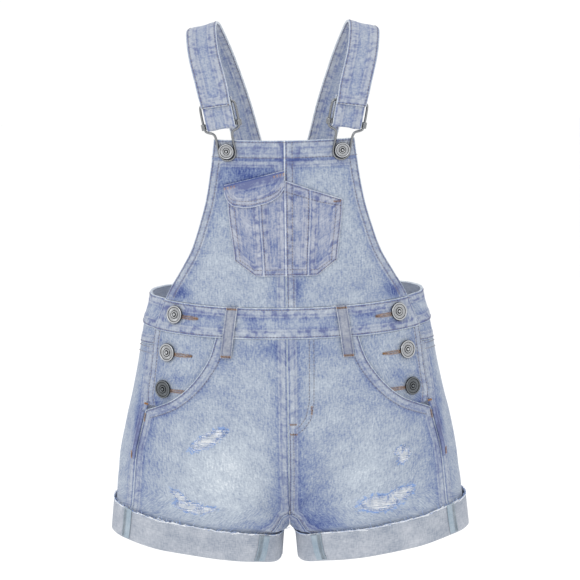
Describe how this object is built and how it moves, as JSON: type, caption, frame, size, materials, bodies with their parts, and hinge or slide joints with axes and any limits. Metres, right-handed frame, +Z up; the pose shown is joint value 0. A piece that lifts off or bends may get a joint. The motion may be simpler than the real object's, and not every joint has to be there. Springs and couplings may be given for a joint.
{
  "type": "denim overalls",
  "caption": "Short denim overalls for a child, filled out with no wearer: bib with patch pocket, straps on wire buckles, buttoned sides, turned-up hems.",
  "frame": {"origin": "midway between the two straps where the shoulders carry them, level with the straps' inner top edges", "axes": "+Z up, -Y towards the front of the garment, +X towards the viewer's right when looking at the front"},
  "size_m": [0.3466, 0.1649, 0.513],
  "materials": {
    "denim": "light washed twill, worn pale on the thighs",
    "waistband_denim": "two layers of light washed twill",
    "cuff_denim": "inside of the twill, paler and greyer",
    "strap_denim": "folded and topstitched twill",
    "antique_silver": "antiqued zinc alloy and steel wire",
    "gunmetal": "dark antiqued zinc alloy"
  },
  "bodies": {
    "root": {"front_panel_left": "denim", "front_panel_right": "denim", "back_panel_left": "denim", "back_panel_right": "denim", "back_yoke_left": "denim", "back_yoke_right": "denim", "hip_piece_left": "denim", "hip_piece_right": "denim", "side_placket_left": "denim", "side_placket_right": "denim", "side_welt_left": "denim", "side_welt_right": "denim", "front_bib_left": "denim", "front_bib_right": "denim", "back_bib": "denim", "chest_pocket": "denim", "pocket_flap": "denim", "waistband_front": "waistband_denim", "waistband_back": "waistband_denim", "belt_loop_left": "waistband_denim", "belt_loop_right": "waistband_denim", "cuff_left": "cuff_denim", "cuff_right": "cuff_denim", "strap_left": "strap_denim", "strap_right": "strap_denim", "strap_loop_left": "strap_denim", "strap_loop_right": "strap_denim", "buckle_frame_left": "antique_silver", "buckle_frame_right": "antique_silver", "slider_bar_left": "antique_silver", "slider_bar_right": "antique_silver", "bib_button_left": "antique_silver", "bib_button_right": "antique_silver", "side_button_waist_left": "antique_silver", "side_button_waist_right": "antique_silver", "side_button_upper_left": "antique_silver", "side_button_upper_right": "antique_silver", "side_button_lower_left": "gunmetal", "side_button_lower_right": "gunmetal"}
  },
  "joints": []
}
